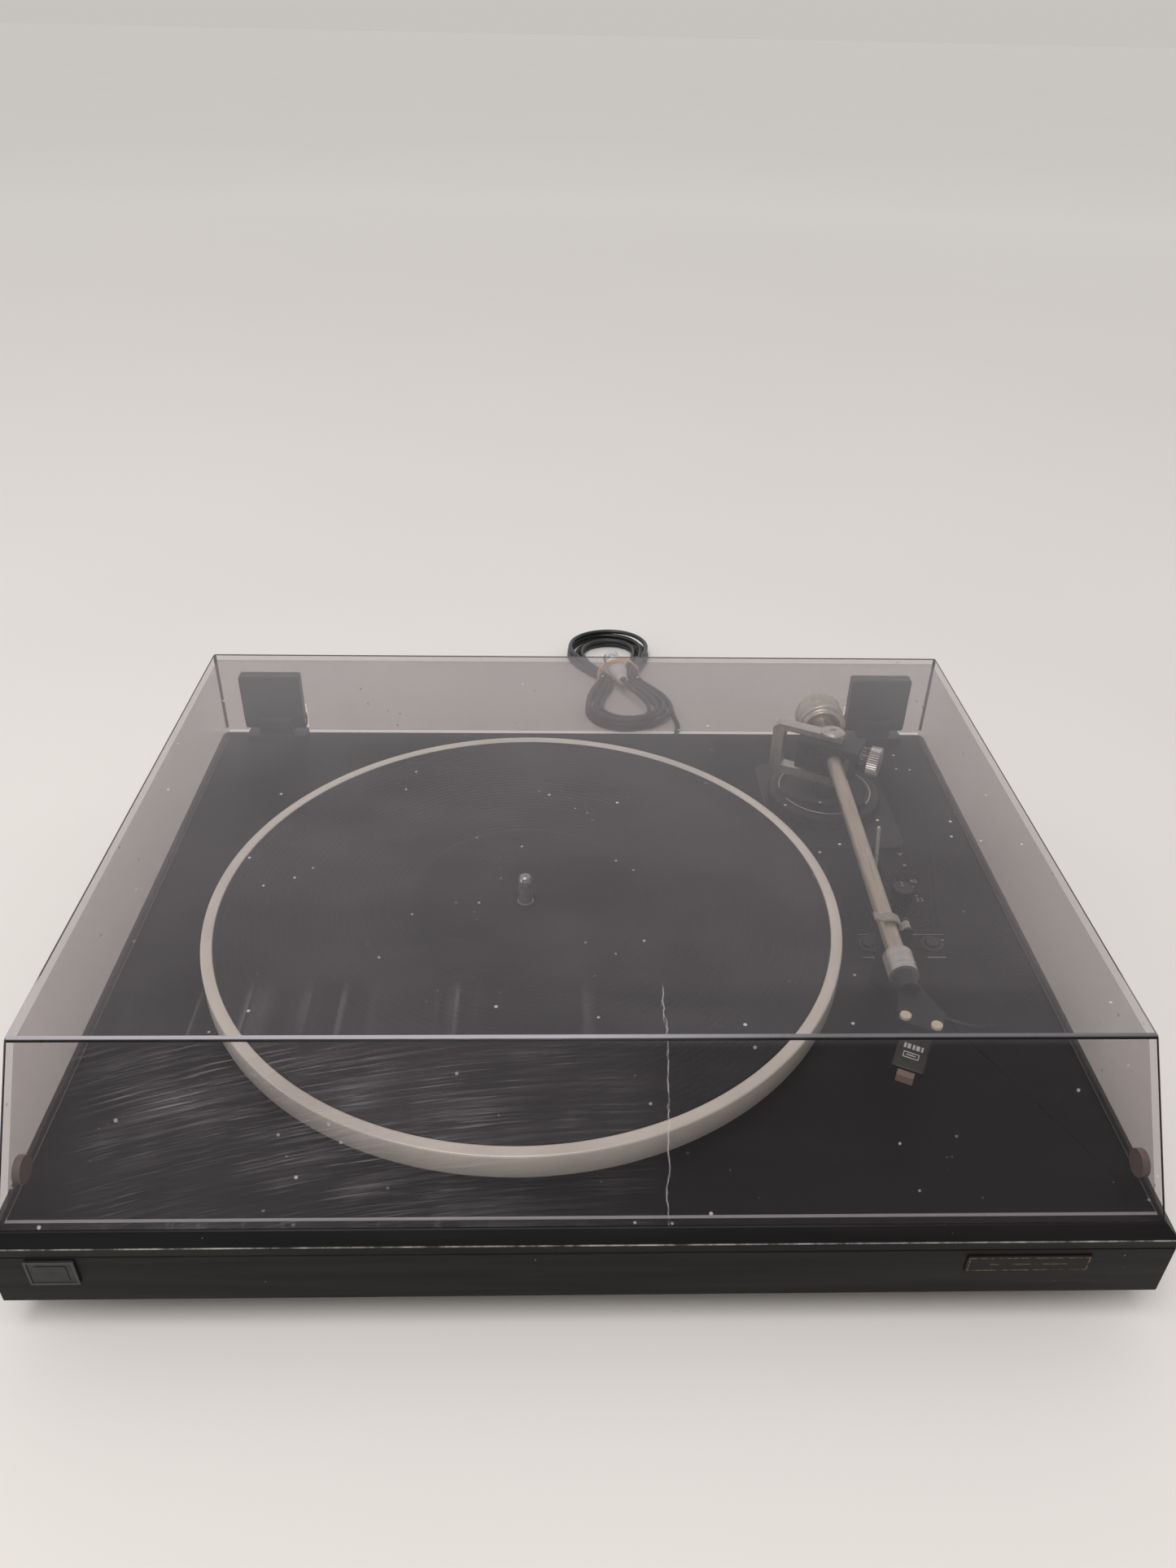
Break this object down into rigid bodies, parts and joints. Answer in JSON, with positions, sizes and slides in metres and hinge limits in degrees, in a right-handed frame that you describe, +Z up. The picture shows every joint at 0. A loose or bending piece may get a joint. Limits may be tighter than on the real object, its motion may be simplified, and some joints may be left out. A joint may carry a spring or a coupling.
{
  "type": "turntable record player",
  "caption": "Belt-drive record player with a flat black plinth, rubber-matted metal platter, straight gimballed tonearm and a hinged smoked clear cover.",
  "frame": {"origin": "on the surface it stands on, below the middle of the plinth", "axes": "+X to the object's right seen from the front, +Y to the back where the hinges are, +Z up"},
  "size_m": [0.444, 0.599, 0.1088],
  "materials": {
    "veneer": "black stained ash veneer, satin, worn at the edges",
    "board": "bare hardboard",
    "black_plastic": "matt moulded plastic",
    "rubber": "matt rubber",
    "mat_rubber": "fine matt rubber",
    "steel": "zinc plated steel",
    "silver": "satin aluminium, slightly yellowed",
    "platter_metal": "turned aluminium, satin",
    "tube_metal": "drawn aluminium, satin",
    "brass": "machined brass",
    "black_metal": "satin black paint",
    "smoked_acrylic": "smoked clear acrylic, scuffed",
    "amber_rubber": "translucent brown buffer",
    "clear_clip": "translucent plastic",
    "stylus_plastic": "translucent tinted plastic",
    "cream": "cream nylon screws",
    "board_green": "circuit board laminate",
    "badge_dark": "dark plate with a pale rim",
    "nameplate_dark": "dark plate with a gilt line",
    "lead_black": "black cable sheath",
    "plug_white": "white plug shell"
  },
  "bodies": {
    "plinth": {"plinth_frame": "veneer", "top_board": "veneer", "base_board": "board", "feet": "rubber", "base_screws": "steel", "sub_chassis": "steel", "suspension_springs": "steel", "bearing_housing": "brass", "thrust_ball": "steel", "motor_body": "steel", "motor_bracket": "steel", "motor_grommets": "rubber", "circuit_board": "board_green", "control_switches": "black_plastic", "mains_inlet": "black_plastic", "lead_gland": "black_plastic", "badge": "badge_dark", "nameplate": "nameplate_dark", "hinge_bases": "black_plastic", "hinge_pins": "steel", "arm_base_plate": "black_metal", "arm_pillar": "black_metal", "gimbal_bracket": "silver", "pivot_nut": "silver", "arm_rest": "black_plastic", "cue_bush": "black_plastic", "drive_belt": "rubber", "lever_bracket": "steel", "signal_lead": "lead_black", "lead_hank": "lead_black", "signal_plug": "plug_white"},
    "cover": {"dust_cover": "smoked_acrylic", "hinge_leaves": "black_plastic", "cover_bumpers": "amber_rubber"},
    "platter": {"platter": "platter_metal", "platter_mat": "mat_rubber", "drive_disc": "black_plastic", "spindle": "steel"},
    "motor_rotor": {"motor_pulley": "brass", "motor_shaft": "steel"},
    "arm_swing": {"gimbal_yoke": "black_metal"},
    "force_dial": {"force_dial": "silver"},
    "arm": {"arm_tube": "tube_metal", "bearing_block": "black_metal", "head_collar": "silver", "headshell": "black_plastic", "finger_lift": "tube_metal", "cartridge": "black_plastic", "stylus": "stylus_plastic", "head_screws": "cream", "weight_shaft": "tube_metal"},
    "counterweight": {"counterweight": "silver"},
    "side_force_ring": {"side_force_ring": "black_plastic"},
    "cue_lever": {"cue_lever": "silver"},
    "cue_lift": {"cue_lift": "black_metal"},
    "speed_knob": {"speed_knob": "black_plastic"},
    "start_button": {"start_button": "black_plastic"},
    "stop_button": {"stop_button": "black_plastic"},
    "rest_clip": {"rest_clip": "clear_clip"}
  },
  "joints": [
    {"name": "cover_hinge", "type": "hinge", "parent": "plinth", "child": "cover", "pos_m": [0, 0.172, 0.066], "axis": [-1, 0, 0], "range_deg": [0, 65]},
    {"name": "platter_spin", "type": "hinge", "parent": "plinth", "child": "platter", "pos_m": [-0.0275, -0.007, 0.06], "axis": [0, 0, 1], "continuous": true},
    {"name": "motor_spin", "type": "hinge", "parent": "plinth", "child": "motor_rotor", "pos_m": [-0.1015, 0.081, 0.05], "axis": [0, 0, 1], "continuous": true},
    {"name": "arm_swing", "type": "hinge", "parent": "plinth", "child": "arm_swing", "pos_m": [0.141, 0.103, 0.088], "axis": [0, 0, -1], "range_deg": [0, 42]},
    {"name": "force_dial_turn", "type": "hinge", "parent": "arm_swing", "child": "force_dial", "pos_m": [0.16328, 0.09165, 0.088], "axis": [0.891, -0.454, 0], "range_deg": [0, 270]},
    {"name": "arm_tilt", "type": "hinge", "parent": "arm_swing", "child": "arm", "pos_m": [0.141, 0.103, 0.088], "axis": [-0.891, 0.454, 0], "range_deg": [-1.2, 0]},
    {"name": "counterweight_slide", "type": "slide", "parent": "arm", "child": "counterweight", "axis": [0.0244, 0.9997, 0], "range_m": [-0.004, 0.006]},
    {"name": "side_force_turn", "type": "hinge", "parent": "plinth", "child": "side_force_ring", "pos_m": [0.141, 0.103, 0.06], "axis": [0, 0, 1], "range_deg": [0, 150]},
    {"name": "cue_lever_turn", "type": "hinge", "parent": "plinth", "child": "cue_lever", "pos_m": [0.1584, 0.0387, 0.04], "axis": [1, 0, 0], "range_deg": [0, 36]},
    {"name": "cue_lift_slide", "type": "slide", "parent": "plinth", "child": "cue_lift", "axis": [0, 0, 1], "range_m": [0, 0.005]},
    {"name": "speed_knob_turn", "type": "hinge", "parent": "plinth", "child": "speed_knob", "pos_m": [0.1642, 0.013, 0.058], "axis": [0, 0, 1], "range_deg": [0, 90]},
    {"name": "start_button_press", "type": "slide", "parent": "plinth", "child": "start_button", "axis": [0, 0, -1], "range_m": [0, 0.0015], "stiffness_N_per_m": 300, "springref_m": -0.001},
    {"name": "stop_button_press", "type": "slide", "parent": "plinth", "child": "stop_button", "axis": [0, 0, -1], "range_m": [0, 0.0015], "stiffness_N_per_m": 300, "springref_m": -0.001},
    {"name": "rest_clip_turn", "type": "hinge", "parent": "plinth", "child": "rest_clip", "pos_m": [0.14593, -0.04716, 0.088], "axis": [0.0244, 0.9997, 0], "range_deg": [0, 95]}
  ],
  "couplings": [
    {"joint": "motor_spin", "follows": "platter_spin", "ratio": 11.257},
    {"joint": "cue_lever_turn", "follows": "cue_lift_slide", "rad_per_m": 125.66}
  ]
}
